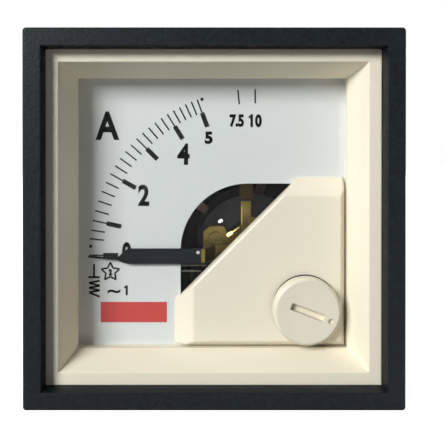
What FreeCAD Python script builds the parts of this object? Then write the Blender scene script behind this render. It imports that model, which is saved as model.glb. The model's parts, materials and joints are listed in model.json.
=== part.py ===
import FreeCAD, Part
import math
import os
import re
import Sketcher
from FreeCAD import Placement, Rotation, Vector

# A 48 mm square moving-iron ammeter for panel mounting, in millimetres and degrees.
# X is right, Z is up, and Y runs back from the panel, whose front surface is Y = 0.
# Heights in sketches are measured forwards from that surface, so a height is minus Y.
SIZES = {
    # front bezel
    "front_size": 48.0,
    "bezel_depth": 7.0,
    "bezel_face_width": 2.3,
    "bezel_corner_radius": 0.45,
    "bezel_edge_radius": 0.3,
    "bezel_recess": 1.7,
    "moulding_gap": 0.1,
    # cream surround and clear window; depths are from the bezel's front
    "ledge_depth": 1.9,
    "ledge_width": 1.6,
    "slope_width": 1.55,
    "opening_depth": 5.9,
    "lip_undercut": 0.3,
    "lip_wall": 0.8,
    "flange_thickness": 0.7,
    "surround_roof": 2.9,
    "window_thickness": 1.2,
    "window_corner_radius": 1.0,
    "window_hole_gap": 0.3,
    # rear case
    "bezel_overhang": 1.8,
    "case_depth": 38.0,
    "case_wall": 1.5,
    "case_corner_radius": 1.2,
    "collar_length": 7.0,
    "case_step": 1.0,
    "rear_wall": 2.0,
    "post_size": 2.3,
    "clamp_slot_width": 6.0,
    "clamp_slot_length": 4.0,
    "clamp_slot_depth": 0.8,
    "clamp_slot_start": 1.5,
    "clamp_slot_spacing": 20.0,
    # dial
    "dial_depth": 7.8,
    "dial_thickness": 0.6,
    "dial_gap": 0.2,
    "cutout_reach": 10.5,
    "cutout_gap_right": 0.2875,
    "cutout_gap_low": 0.2375,
    "cutout_radius": 9.5,
    "cutout_rise": 0.6,
    "scale_margin": 1.15,
    "tick_length": 2.0,
    "tick_width": 0.2,
    "bar_length": 2.1,
    "bar_width": 0.65,
    "dot_size": 0.4,
    "ink_height": 0.04,
    # cream mask over the movement
    "mask_height": 1.9,
    "mask_wall": 0.8,
    "mask_gap": 0.15,
    "mask_left_reach": 11.25,
    "mask_top_reach": 11.05,
    "mask_slope": 2.55,
    "mask_foot": 0.3,
    "mask_cut": 5.05,
    "mask_bevel": 0.7,
    "mask_fillet": 0.25,
    "peg_size": 1.4,
    "peg_length": 1.4,
    "peg_inset": 2.1,
    "peg_reach_x": 7.7,
    "peg_reach_z": 7.75,
    # pivot axis and moving system
    "pivot_from_right": 12.35,
    "pivot_from_bottom": 12.3,
    "blade_gap": 0.45,
    "blade_thickness": 0.3,
    "blade_width": 2.1,
    "blade_start": 7.6,
    "needle_and_nose": 5.5,
    "needle_length": 4.1,
    "needle_width": 0.35,
    "needle_drop": 0.35,
    "nose_length": 0.6,
    "nose_rise": 0.15,
    "arm_thickness": 0.4,
    "arm_width": 1.9,
    "arm_drop": 2.65,
    "arm_lap_end": 9.6,
    "ramp_outer": 7.1,
    "ramp_inner": 5.5,
    "ramp_shift": 0.25,
    "hub_radius": 1.6,
    "tail_length": 7.0,
    "tail_width": 0.8,
    "side_arm_length": 5.0,
    "side_arm_width": 0.7,
    "spindle_radius": 0.55,
    "spindle_overrun": 1.6,
    "spindle_tip": 0.9,
    "push_gap": 0.02,
    "tail_weight_width": 3.0,
    "tail_weight_length": 1.9,
    "tail_end_gap": 0.1,
    "side_weight_size": 1.2,
    "side_weight_length": 0.9,
    "weight_wall": 0.35,
    "collet_radius": 1.1,
    "collet_length": 0.45,
    "collet_drop": 0.05,
    # hairspring
    "spring_gap": 0.85,
    "spring_height": 0.3,
    "spring_thickness": 0.12,
    "spring_inner_radius": 1.3,
    "spring_turns": 3.0,
    # bearings and front bridge
    "bridge_thickness": 0.8,
    "bridge_width": 2.6,
    "bridge_end_radius": 1.5,
    "boss_radius": 1.8,
    "boss_height": 0.7,
    "jewel_screw_radius": 1.2,
    "jewel_screw_length": 2.3,
    "jewel_screw_front": 0.15,
    "jewel_slot_depth": 0.5,
    "jewel_cup_depth": 0.5,
    "jewel_cup_radius": 0.75,
    "end_play": 0.05,
    "screw_radius": 0.8,
    "screw_gap": 0.05,
    "screw_head_radius": 1.1,
    "screw_head_height": 0.6,
    "screw_slot_width": 0.35,
    "screw_slot_depth": 0.3,
    "screw_grip": 3.6,
    "rear_jewel_screw_length": 3.6,
    # zero adjuster
    "knob_from_right": 5.95,
    "knob_from_bottom": 5.65,
    "knob_head_radius": 4.5,
    "knob_head_thickness": 1.5,
    "knob_edge_radius": 0.35,
    "knob_lift": 1.0,
    "knob_stem_radius": 3.0,
    "knob_hole_radius": 3.8,
    "knob_snap_radius": 4.0,
    "knob_snap_gap": 0.15,
    "knob_snap_thickness": 0.3,
    "knob_snap_taper": 0.3,
    "knob_split": 1.0,
    "knob_split_start": 0.9,
    "knob_slot_length": 4.6,
    "knob_slot_width": 0.9,
    "knob_slot_depth": 0.8,
    "knob_slot_tilt": 21.0,
    "knob_dimple_radius": 0.3,
    "pin_radius": 0.5,
    "pin_offset": 1.2,
    "fork_gap": 0.2,
    "fork_prong": 0.9,
    "fork_length": 2.0,
    "fork_flare": 0.8,
    "lever_thickness": 0.4,
    "lever_gap": 0.1,
    "lever_ring_radius": 2.5,
    "lever_arm_width": 1.6,
    "running_gap": 0.05,
    "spring_post_reach": 3.9,
    "spring_post_radius": 0.4,
    # brass plate in front of the coil
    "front_plate_gap": 1.2,
    "front_plate_thickness": 0.8,
    "front_plate_radius": 6.6,
    "front_plate_hole_gap": 0.45,
    "lobe_reach": 7.2,
    "lobe_top": 3.5,
    "lobe_bevel": 0.9,
    "lobe_screw_reach": 5.4,
    "lobe_screw_height": 1.6,
    "notch_reach": 3.3,
    "notch_height": 2.1,
    "finger_left": 1.6,
    "finger_width": 1.5,
    "finger_reach": 7.2,
    "plate_screw_reach": 5.5,
    "plate_screw_angle": 40.0,
    # coil, irons and damper
    "bobbin_flange_radius": 8.2,
    "bobbin_flange": 0.8,
    "bobbin_length": 14.0,
    "bobbin_bore": 4.3,
    "bobbin_wall": 0.8,
    "winding_gap": 0.05,
    "winding_radius": 8.0,
    "iron_thickness": 0.4,
    "iron_gap": 0.5,
    "iron_margin": 2.0,
    "fixed_iron_angle": 110.0,
    "moving_iron_angle": 70.0,
    "iron_hub_radius": 1.3,
    "iron_arm_width": 1.2,
    "iron_arm_height": 1.5,
    "vane_reach": 8.4,
    "vane_gap": 0.5,
    "vane_height": 3.2,
    "vane_thickness": 0.3,
    "chamber_wall": 0.5,
    "chamber_angle": 118.0,
    "chamber_end_angle": 4.0,
    "chamber_gap": 0.3,
    # movement frame
    "pillar_radius": 1.9,
    "pillar_gap": 0.1,
    "frame_plate_thickness": 2.0,
    "frame_plate_margin": 0.2,
    # terminals and leads
    "terminal_spacing": 22.0,
    "terminal_rise": 13.15,
    "stud_radius": 2.0,
    "stud_head_size": 6.5,
    "stud_head_thickness": 2.0,
    "stud_length": 13.0,
    "stud_bevel": 0.4,
    "terminal_boss_radius": 4.6,
    "terminal_boss_height": 1.5,
    "barrier_thickness": 1.5,
    "barrier_height": 11.0,
    "barrier_depth": 3.2,
    "nut_across_flats": 7.0,
    "nut_thickness": 3.2,
    "washer_radius": 4.4,
    "washer_thickness": 0.8,
    "lead_width": 1.4,
    "lead_thickness": 0.5,
    "lead_bend": 0.8,
}

# Lengths and places that follow from the sizes; the movement keeps its place from the lower right corner
PLACES = {
    "opening_half": "front_size / 2 - bezel_face_width - moulding_gap - ledge_width - slope_width",
    "case_half": "front_size / 2 - bezel_overhang",
    "pivot_x": "opening_half - pivot_from_right",
    "pivot_z": "pivot_from_bottom - opening_half",
    "knob_x": "opening_half - knob_from_right",
    "knob_z": "knob_from_bottom - opening_half",
    "scale_radius": "pivot_x + opening_half - scale_margin",
    "blade_end": "scale_radius - needle_and_nose",
    "needle_start": "scale_radius - needle_length",
    "bridge_reach": "bobbin_flange_radius + pillar_gap + pillar_radius",
    "terminal_height": "pivot_z + terminal_rise",
}

# Scale angles in degrees above the zero mark, by amperes
MAIN_MARKS = {0: 0.0, 1: 12.1, 2: 29.4, 3: 44.5, 4: 58.05, 5: 69.55}
OVERLOAD_MARKS = {7.5: 84.0, 10: 90.0}
LOW_MARKS = (0.6, 0.8)
LOW_DOT = 0.4
LOW_SCALE_POWER = 1.47
FIRST_RATE = 17.4
LAST_RATE = 10.6
END_DOT_STEP = 1.6
MINOR_STEPS = 5
SPRING_STEPS = 16

doc = FreeCAD.newDocument("panel_meter")
sheet = doc.addObject("Spreadsheet::Sheet", "dims")
for row, (alias, value) in enumerate(SIZES.items(), start=1):
    sheet.set(f"A{row}", alias)
    sheet.set(f"B{row}", str(value))
    sheet.setAlias(f"B{row}", alias)
doc.recompute()
places = doc.addObject("App::VarSet", "places")

# Formulas that several pieces share
LEDGE = "(bezel_depth - ledge_depth)"
OPENING = "(bezel_depth - opening_depth)"
DIAL = "(bezel_depth - dial_depth)"
DIAL_BACK = f"({DIAL} - dial_thickness)"
SURROUND_HALF = "(front_size / 2 - bezel_face_width - moulding_gap)"
FLANGE = "(bezel_recess - moulding_gap)"
CASE_FRONT = f"({FLANGE} - flange_thickness - moulding_gap)"
REAR_HALF = "(case_half - case_step)"
REAR_FACE = "(-case_depth)"
REAR_INSIDE = "(-case_depth + rear_wall)"
MASK_FACE = f"({DIAL} + mask_height)"
MASK_RIGHT = "(opening_half - mask_gap)"
BLADE_BACK = f"({DIAL} + blade_gap)"
BRIDGE_BACK = f"({DIAL} - bridge_thickness)"
ARM_FRONT = f"({BLADE_BACK} - arm_drop)"
ARM_BACK = f"({ARM_FRONT} - arm_thickness)"
SPINDLE_FRONT = f"({DIAL} + boss_height + jewel_screw_front - jewel_screw_length + jewel_cup_depth - end_play)"
PLATE_FRONT = f"({ARM_BACK} - front_plate_gap)"
BOBBIN_FRONT = f"({PLATE_FRONT} - front_plate_thickness)"
BOBBIN_REAR = f"({BOBBIN_FRONT} - bobbin_length)"
CHAMBER_FRONT = f"({BOBBIN_REAR} - chamber_gap)"
VANE_FRONT = f"({CHAMBER_FRONT} - chamber_wall - vane_gap)"
SPINDLE_REAR = f"({VANE_FRONT} - vane_height - spindle_overrun)"
FRAME_FRONT = f"({VANE_FRONT} - vane_height - vane_gap - chamber_wall)"
FRAME_REAR = f"({FRAME_FRONT} - frame_plate_thickness)"
KNOB_DISTANCE = "sqrt((knob_x - pivot_x) ^ 2 + (knob_z - pivot_z) ^ 2)"
KNOB_TURN = "atan2(pivot_z - knob_z; knob_x - pivot_x)"
FORK_REACH = f"({KNOB_DISTANCE} - pin_offset)"
SCREW_HOLE = "(screw_radius + screw_gap)"
BRIDGE_OFFSET = "(bridge_reach * sqrt(2) / 2)"
TERMINAL_FACE = "(-case_depth - terminal_boss_height)"
LEAD_LEVEL = f"({BOBBIN_FRONT} - bobbin_length / 2)"


def full_name(word):
    """A size as its cell in the sheet, a place as its variable, and any other word as it is."""
    name = word[0]
    if name in SIZES:
        return "dims." + name
    return "places." + name if name in PLACES else name


def formula(text):
    """Write a formula of size and place names the way the document reads it."""
    return re.sub(r"[a-z]\w*", full_name, text)


def bind(thing, formulas):
    """Tie properties of an object to formulas of the sizes."""
    for path, text in formulas.items():
        thing.setExpression(path, formula(text))


for place in PLACES:
    places.addProperty("App::PropertyFloat", place)
bind(places, PLACES)
doc.recompute()


def new_body(label, place=("0", "0", "0"), turn=None):
    """An empty body, placed by formulas and turned about the Y axis."""
    body = doc.addObject("PartDesign::Body", label)
    body.Label = label
    if turn is not None:
        body.Placement = Placement(Vector(), Rotation(Vector(0, 1, 0), 10.0))
        bind(body, {"Placement.Rotation.Angle": turn})
    bind(body, {f"Placement.Base.{axis}": text for axis, text in zip("xyz", place)})
    return body


def pivot_body(label, turn=None):
    """An empty body whose own Y axis is the pivot axis."""
    return new_body(label, ("pivot_x", "0", "pivot_z"), turn)


def new_sketch(body, plane="XZ_Plane", offset="0"):
    """An empty sketch on one of the body's own planes, lifted by a formula."""
    sketch = body.newObject("Sketcher::SketchObject", body.Label + "_sketch")
    base = next(item for item in body.Origin.OriginFeatures if item.Role == plane)
    sketch.AttachmentSupport = [(base, "")]
    sketch.MapMode = "FlatFace"
    bind(sketch, {"AttachmentOffset.Base.z": offset})
    return sketch


def tie_point(sketch, geometry, point, across, up):
    """Hold a point of the sketch at two formulas from the sketch's origin."""
    for kind, text in (("DistanceX", across), ("DistanceY", up)):
        index = sketch.addConstraint(Sketcher.Constraint(kind, -1, 1, geometry, point, 1.0))
        bind(sketch, {f"Constraints[{index}]": text})


def draw_outline(sketch, corners):
    """A closed outline of straight lines, each corner given by two formulas."""
    count = len(corners)
    first = sketch.GeometryCount
    spots = [Vector(math.cos(2 * math.pi * step / count), math.sin(2 * math.pi * step / count), 0)
             for step in range(count)]
    for index in range(count):
        sketch.addGeometry(Part.LineSegment(spots[index], spots[(index + 1) % count]), False)
    for index, (across, up) in enumerate(corners):
        before = first + (index - 1) % count
        sketch.addConstraint(Sketcher.Constraint("Coincident", before, 2, first + index, 1))
        tie_point(sketch, first + index, 1, across, up)


def draw_square(sketch, half):
    """A square round the sketch's origin."""
    draw_rectangle(sketch, f"-{half}", half, f"-{half}", half)


def draw_rectangle(sketch, left, right, low, high):
    """A rectangle between four formulas."""
    draw_outline(sketch, [(left, low), (right, low), (right, high), (left, high)])


def draw_circle(sketch, radius, across="0", up="0"):
    """A circle with its radius and centre given by formulas."""
    circle = sketch.addGeometry(Part.Circle(Vector(0, 0, 0), Vector(0, 0, 1), 1.0), False)
    index = sketch.addConstraint(Sketcher.Constraint("Radius", circle, 1.0))
    bind(sketch, {f"Constraints[{index}]": radius})
    tie_point(sketch, circle, 3, across, up)


def add_pad(body, sketch, length, midplane=False):
    """Raise a sketch forwards, or to both sides of its plane."""
    pad = body.newObject("PartDesign::Pad", body.Label + "_pad")
    pad.Profile = sketch
    pad.Midplane = midplane
    bind(pad, {"Length": length})
    return pad


def add_pocket(body, sketch, length=None, forwards=False, taper=None):
    """Cut a sketch back into the body, or forwards; with no length it goes right through both ways."""
    pocket = body.newObject("PartDesign::Pocket", body.Label + "_pocket")
    pocket.Profile = sketch
    pocket.Reversed = forwards
    if length is None:
        pocket.Type = 1
        pocket.Midplane = True
    else:
        bind(pocket, {"Length": length})
    if taper is not None:
        bind(pocket, {"TaperAngle": taper})
    return pocket


def add_turning(body, corners, angle=None, kind="Revolution"):
    """Turn an outline of (radius, height) formulas about the body's Y axis."""
    sketch = new_sketch(body, "XY_Plane")
    draw_outline(sketch, [(radius, f"-({height})") for radius, height in corners])
    turning = body.newObject("PartDesign::" + kind, body.Label + "_turning")
    turning.Profile = sketch
    turning.ReferenceAxis = (sketch, ["V_Axis"])
    if angle is None:
        turning.Angle = 360.0
    else:
        bind(turning, {"Angle": angle})
        turning.Midplane = True
    return turning


def add_fillet(body, feature, radius, wanted, kind="Fillet"):
    """Round or bevel the edges of a feature that a test picks by their middle and direction."""
    doc.recompute()
    names = []
    for index, edge in enumerate(feature.Shape.Edges, start=1):
        if edge.Curve.TypeId == "Part::GeomCircle":
            continue
        middle = edge.CenterOfMass
        if wanted(middle, edge.tangentAt(edge.FirstParameter)):
            names.append(f"Edge{index}")
    rounding = body.newObject("PartDesign::" + kind, body.Label + "_edges")
    rounding.Base = (feature, names)
    bind(rounding, {"Radius" if kind == "Fillet" else "Size": radius})
    return rounding


def near(value, target, margin=0.02):
    """True where two lengths agree."""
    return abs(value - target) < margin


def runs_back(direction):
    """True for an edge along Y."""
    return abs(direction.y) > 0.99


def size_of(name):
    """A size or place as the document holds it, for the few shapes that are worked out point by point."""
    return float(getattr(sheet if name in SIZES else places, name))


def drill(body, radius, spots):
    """Holes right through the body along Y."""
    sketch = new_sketch(body)
    for across, up in spots:
        draw_circle(sketch, radius, across, up)
    return add_pocket(body, sketch)


def add_cylinder(body, radius, low, high, across="0", up="0"):
    """A round bar along Y between two heights."""
    sketch = new_sketch(body, offset=low)
    draw_circle(sketch, radius, across, up)
    return add_pad(body, sketch, f"({high}) - ({low})")


def add_block(body, left, right, low, high, back, front):
    """A rectangular block between six formulas."""
    sketch = new_sketch(body, offset=back)
    draw_rectangle(sketch, left, right, low, high)
    return add_pad(body, sketch, f"({front}) - ({back})")


def group(label, members, kind="Part::Compound"):
    """Several solids under one name, or fused into one."""
    joined = doc.addObject(kind, label)
    joined.Label = label
    if kind == "Part::Compound":
        joined.Links = members
    else:
        joined.Shapes = members
    return joined


def screw(label, across, up, face, turn, grip="screw_grip", backwards=False):
    """A small slotted cheese-head screw whose head lies in front of a face, or behind it."""
    body = new_body(label, (across, "0", up), turn)
    out, into = ("-", "+") if backwards else ("+", "-")
    head = f"{face} {out} screw_head_height"
    end = f"{face} {into} ({grip})"
    add_turning(body, [("0", end), ("screw_radius", end), ("screw_radius", face), ("screw_head_radius", face),
                       ("screw_head_radius", head), ("0", head)])
    slot = new_sketch(body, offset=head)
    draw_rectangle(slot, "-screw_head_radius * 2", "screw_head_radius * 2",
                   "-screw_slot_width / 2", "screw_slot_width / 2")
    add_pocket(body, slot, "screw_slot_depth", forwards=backwards)
    return body


def make_front_bezel():
    """The black square frame, open in front, with a recess behind for the case and the flange."""
    body = new_body("front_bezel")
    outside = new_sketch(body)
    draw_square(outside, "front_size / 2")
    block = add_pad(body, outside, "bezel_depth")
    corners = add_fillet(body, block, "bezel_corner_radius", lambda middle, way: runs_back(way))
    front = size_of("bezel_depth")
    add_fillet(body, corners, "bezel_edge_radius", lambda middle, way: near(-middle.y, front))
    opening = new_sketch(body)
    draw_square(opening, "(front_size / 2 - bezel_face_width)")
    add_pocket(body, opening)
    recess = new_sketch(body, offset="bezel_recess")
    draw_square(recess, "(case_half + moulding_gap)")
    add_pocket(body, recess, "bezel_recess")
    return body


def make_inner_surround():
    """The cream frame: flat ledge for the window, sloped sides and a lip that meets the dial."""
    body = new_body("inner_surround")
    frame = new_sketch(body, offset=f"{FLANGE} - flange_thickness")
    draw_square(frame, SURROUND_HALF)
    add_pad(body, frame, f"{LEDGE} - {FLANGE} + flange_thickness")
    flange = new_sketch(body, offset=f"{FLANGE} - flange_thickness")
    draw_square(flange, "(case_half)")
    add_pad(body, flange, "flange_thickness")
    lip_half = "(opening_half + lip_undercut + lip_wall)"
    lip = new_sketch(body, offset=DIAL)
    draw_square(lip, lip_half)
    add_pad(body, lip, f"{FLANGE} - {DIAL}")
    mouth = new_sketch(body, offset=LEDGE)
    mouth_half = f"({SURROUND_HALF} - ledge_width)"
    slope_depth = "(opening_depth - ledge_depth)"
    draw_square(mouth, mouth_half)
    add_pocket(body, mouth, slope_depth, taper=f"-atan(({mouth_half} - opening_half) / {slope_depth})")
    throat = new_sketch(body, offset=OPENING)
    lip_depth = "(dial_depth - opening_depth)"
    draw_square(throat, "(opening_half)")
    add_pocket(body, throat, lip_depth, taper=f"atan(lip_undercut / {lip_depth})")
    core = new_sketch(body, offset=f"{FLANGE} - flange_thickness")
    draw_square(core, "(case_half - case_wall - moulding_gap)")
    draw_square(core, lip_half)
    add_pocket(body, core, f"{LEDGE} - surround_roof - {FLANGE} + flange_thickness", forwards=True)
    return body


def make_front_window():
    """The clear pane, with a round hole that leaves the zero adjuster free."""
    body = new_body("front_window")
    pane = new_sketch(body, offset=LEDGE)
    draw_square(pane, f"({SURROUND_HALF} - moulding_gap)")
    slab = add_pad(body, pane, "window_thickness")
    add_fillet(body, slab, "window_corner_radius", lambda middle, way: runs_back(way))
    drill(body, "knob_head_radius + window_hole_gap", [("knob_x", "knob_z")])
    return body


def make_rear_case():
    """The black case: collar that fills the panel hole, stepped rear box, posts and terminal bosses."""
    body = new_body("rear_case")
    collar = new_sketch(body, offset="-collar_length")
    draw_square(collar, "(case_half)")
    add_pad(body, collar, f"{CASE_FRONT} + collar_length")
    rear = new_sketch(body, offset=REAR_FACE)
    draw_square(rear, REAR_HALF)
    outer = add_pad(body, rear, "case_depth - collar_length")
    rear_half = size_of("case_half") - size_of("case_step")
    back = size_of("collar_length")
    add_fillet(body, outer, "case_corner_radius",
               lambda middle, way: runs_back(way) and middle.y > back and near(abs(middle.x), rear_half))
    front_room = new_sketch(body, offset=CASE_FRONT)
    draw_square(front_room, "(case_half - case_wall)")
    add_pocket(body, front_room, f"{CASE_FRONT} + collar_length - case_step")
    rear_room = new_sketch(body, offset=CASE_FRONT)
    draw_square(rear_room, f"({REAR_HALF} - case_wall)")
    add_pocket(body, rear_room, f"{CASE_FRONT} + case_depth - rear_wall")
    posts = new_sketch(body, offset=REAR_INSIDE)
    start = f"({REAR_HALF} - case_wall - post_size)"
    end = f"({REAR_HALF} - case_wall / 2)"
    for side in ("", "-"):
        for level in ("", "-"):
            draw_rectangle(posts, side + start, side + end, level + start, level + end)
    add_pad(body, posts, f"{DIAL_BACK} - {REAR_INSIDE}")
    bosses = new_sketch(body, offset=TERMINAL_FACE)
    for side in ("", "-"):
        draw_circle(bosses, "terminal_boss_radius", f"{side}terminal_spacing / 2", "terminal_height")
    add_pad(body, bosses, "terminal_boss_height + rear_wall / 2")
    add_block(body, "-barrier_thickness / 2", "barrier_thickness / 2",
              "terminal_height - barrier_height / 2", "terminal_height + barrier_height / 2",
              "-case_depth - barrier_depth", "-case_depth + rear_wall / 2")
    drill(body, "stud_radius + screw_gap",
          [("terminal_spacing / 2", "terminal_height"), ("-terminal_spacing / 2", "terminal_height")])
    holes = new_sketch(body, offset=REAR_FACE)
    for across, up in PILLAR_SPOTS:
        draw_circle(holes, SCREW_HOLE, across, up)
    add_pocket(body, holes, "rear_wall", forwards=True)
    slot_start = "collar_length + clamp_slot_start"
    for side in ("", "-"):
        slots = new_sketch(body, "YZ_Plane", f"{side}{REAR_HALF}")
        for level in ("", "-"):
            draw_rectangle(slots, slot_start, f"{slot_start} + clamp_slot_length",
                           f"{level}clamp_slot_spacing / 2 - clamp_slot_width / 2",
                           f"{level}clamp_slot_spacing / 2 + clamp_slot_width / 2")
        add_pocket(body, slots, "clamp_slot_depth", forwards=side == "-")
    return body


def scale_angle(amps):
    """Angle above zero, on a smooth curve through the measured main marks."""
    low = min(int(amps), 4)
    if low == 0:
        return MAIN_MARKS[1] * amps ** LOW_SCALE_POWER
    part = amps - low
    start, end = MAIN_MARKS[low], MAIN_MARKS[low + 1]
    start_rate = (end - MAIN_MARKS[low - 1]) / 2 if low > 1 else FIRST_RATE
    end_rate = (MAIN_MARKS[low + 2] - start) / 2 if low < 4 else LAST_RATE
    return ((2 * part ** 3 - 3 * part ** 2 + 1) * start + (part ** 3 - 2 * part ** 2 + part) * start_rate
            + (3 * part ** 2 - 2 * part ** 3) * end + (part ** 3 - part ** 2) * end_rate)


def scale_mark(angle, outer, length, width):
    """One printed stroke of the scale, pointing at the pivot."""
    front = size_of("bezel_depth") - size_of("dial_depth")
    ink = size_of("ink_height")
    stroke = Part.makeBox(length, 2 * ink, width, Vector(-outer, -front - ink, -width / 2))
    stroke.rotate(Vector(), Vector(0, 1, 0), angle)
    stroke.translate(Vector(size_of("pivot_x"), 0, size_of("pivot_z")))
    return stroke


def make_dial_plate():
    """The white dial: movement cut-out, holes for the mask's pegs, and the scale strokes as a thin relief."""
    body = new_body("dial_blank")
    face = new_sketch(body, offset=DIAL_BACK)
    draw_square(face, "(case_half - case_wall - dial_gap)")
    add_pad(body, face, "dial_thickness")
    cutout = new_sketch(body)
    strap = f"({BRIDGE_OFFSET} + bridge_end_radius)"
    draw_rectangle(cutout, "pivot_x - cutout_reach", f"pivot_x + {strap} + cutout_gap_right",
                   f"pivot_z - {strap} - cutout_gap_low", "pivot_z + cutout_radius + cutout_rise")
    hole = add_pocket(body, cutout)
    left = size_of("pivot_x") - size_of("cutout_reach")
    high = size_of("pivot_z") + size_of("cutout_radius") + size_of("cutout_rise")
    add_fillet(body, hole, "cutout_radius",
               lambda middle, way: runs_back(way) and near(middle.x, left) and near(middle.z, high))
    peg_holes = new_sketch(body)
    half = "(peg_size / 2 + screw_gap)"
    for across, up in PEG_SPOTS:
        draw_rectangle(peg_holes, f"{across} - {half}", f"{across} + {half}", f"{up} - {half}", f"{up} + {half}")
    add_pocket(body, peg_holes)
    outer = size_of("scale_radius")
    length = size_of("tick_length")
    thin = size_of("tick_width")
    marks = []
    for amps, angle in MAIN_MARKS.items():
        marks.append(scale_mark(angle, outer, length, thin))
        marks.append(scale_mark(angle, outer - length, size_of("bar_length"), size_of("bar_width")))
    minor = [amps + step / MINOR_STEPS for amps in range(1, 5) for step in range(1, MINOR_STEPS)]
    for amps in list(LOW_MARKS) + minor:
        marks.append(scale_mark(scale_angle(amps), outer, length, thin))
    for angle in OVERLOAD_MARKS.values():
        marks.append(scale_mark(angle, outer, length, thin))
    dot = size_of("dot_size")
    marks.append(scale_mark(scale_angle(LOW_DOT), outer, dot, dot))
    marks.append(scale_mark(MAIN_MARKS[5] + END_DOT_STEP, outer, dot, dot))
    print_relief = doc.addObject("Part::Feature", "scale_print")
    print_relief.Shape = marks[0].multiFuse(marks[1:])
    return group("dial_plate", [body, print_relief], "Part::MultiFuse")


def mask_form(label, inset, rounded):
    """The mask's outer form, or, with an inset, the space inside it."""
    body = new_body(label)
    left = f"(pivot_x - mask_left_reach + {inset})"
    top = f"(pivot_z + mask_top_reach - {inset})"
    right = f"({MASK_RIGHT} - {inset})"
    diagonal = f"(pivot_x - pivot_z - mask_cut + {inset} * sqrt(2))"
    foot = new_sketch(body, offset=DIAL)
    draw_outline(foot, [(left, f"-{right}"), (right, f"-{right}"), (right, top),
                        (f"{top} + {diagonal}", top), (left, f"{left} - {diagonal}")])
    block = add_pad(body, foot, f"mask_height - {inset}")
    if rounded:
        front = size_of("bezel_depth") - size_of("dial_depth") + size_of("mask_height")

        def slanted(middle, way):
            return near(-middle.y, front) and abs(way.x) > 0.5 and abs(way.z) > 0.5
        add_fillet(body, block, "mask_fillet", slanted)
    face = f"{MASK_FACE} - {inset}"
    for plane, edge, way in (("XY_Plane", left, ""), ("YZ_Plane", top, "-")):
        slope = new_sketch(body, plane)
        across = [f"{edge} - {way}1", f"{edge}", f"{edge} + {way}mask_slope", f"{edge} - {way}1"]
        rise = [f"{DIAL} + mask_foot", f"{DIAL} + mask_foot", face, face]
        lift = [f"-({height})" for height in rise]
        corners = list(zip(across, lift)) if plane == "XY_Plane" else list(zip(lift, across))
        draw_outline(slope, corners)
        block = add_pocket(body, slope)
    return body, block


def make_movement_mask():
    """The cream cover: sloped left and top sides, slanted cut-out, knob hole and fixing pegs."""
    outer, block = mask_form("mask_outside", "0", True)
    front = size_of("bezel_depth") - size_of("dial_depth") + size_of("mask_height")
    right = size_of("opening_half") - size_of("mask_gap")

    def right_or_bottom(middle, way):
        return near(-middle.y, front) and (near(middle.x, right) or near(middle.z, -right))
    add_fillet(outer, block, "mask_bevel", right_or_bottom, "Chamfer")
    inner, block = mask_form("mask_inside", "mask_wall", False)
    hole = new_body("mask_knob_hole", ("knob_x", "0", "knob_z"))
    add_cylinder(hole, "knob_hole_radius", DIAL, f"{MASK_FACE} + 1")
    space = group("mask_space", [inner, hole], "Part::MultiFuse")
    shell = doc.addObject("Part::Cut", "mask_shell")
    shell.Base = outer
    shell.Tool = space
    pegs = []
    for index, (across, up) in enumerate(PEG_SPOTS):
        peg = new_body(f"mask_peg_{index}", (across, "0", up))
        add_block(peg, "-peg_size / 2", "peg_size / 2", "-peg_size / 2", "peg_size / 2",
                  f"{DIAL} - peg_length", f"{MASK_FACE} - mask_wall / 2")
        pegs.append(peg)
    return group("movement_mask", [shell] + pegs, "Part::MultiFuse")


def make_zero_adjuster_knob():
    """The slotted screw: domed head, split snap stem and an off-centre pin that faces the pivot."""
    body = new_body("zero_adjuster_knob", ("knob_x", "0", "knob_z"), KNOB_TURN)
    under = f"({MASK_FACE} + knob_lift)"
    head = f"({under} + knob_head_thickness)"
    snap_front = f"({MASK_FACE} - mask_wall - knob_snap_gap)"
    snap_back = f"({snap_front} - knob_snap_thickness)"
    add_turning(body, [("0", snap_back), ("knob_snap_radius - knob_snap_taper", snap_back),
                       ("knob_snap_radius", snap_front),
                       ("knob_stem_radius", snap_front), ("knob_stem_radius", under),
                       ("knob_head_radius", under), ("knob_head_radius", f"{head} - knob_edge_radius"),
                       ("knob_head_radius - knob_edge_radius", head), ("0", head)])
    slot = new_sketch(body, offset=head)
    turn = f"({KNOB_TURN} - knob_slot_tilt * 1deg)"
    slot_corners = []
    for along, aside in ((-1, -1), (1, -1), (1, 1), (-1, 1)):
        reach = f"({along} * knob_slot_length / 2)"
        wide = f"({aside} * knob_slot_width / 2)"
        slot_corners.append((f"{reach} * cos({turn}) - {wide} * sin({turn})",
                             f"{reach} * sin({turn}) + {wide} * cos({turn})"))
    draw_outline(slot, slot_corners)
    add_pocket(body, slot, "knob_slot_depth")
    dimple = new_sketch(body, offset=head)
    reach = "(knob_head_radius - 4 * knob_dimple_radius)"
    draw_circle(dimple, "knob_dimple_radius", f"{reach} * cos({turn})", f"{reach} * sin({turn})")
    add_pocket(body, dimple, "knob_dimple_radius")
    split = new_sketch(body, offset=snap_back)
    draw_rectangle(split, "knob_split_start", "knob_split_start + knob_split",
                   "-knob_snap_radius * 2", "knob_snap_radius * 2")
    add_pocket(body, split, "knob_lift + mask_wall", forwards=True)
    add_cylinder(body, "pin_radius", DIAL, f"{snap_back} + knob_snap_thickness / 2", "-pin_offset")
    return body


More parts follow.
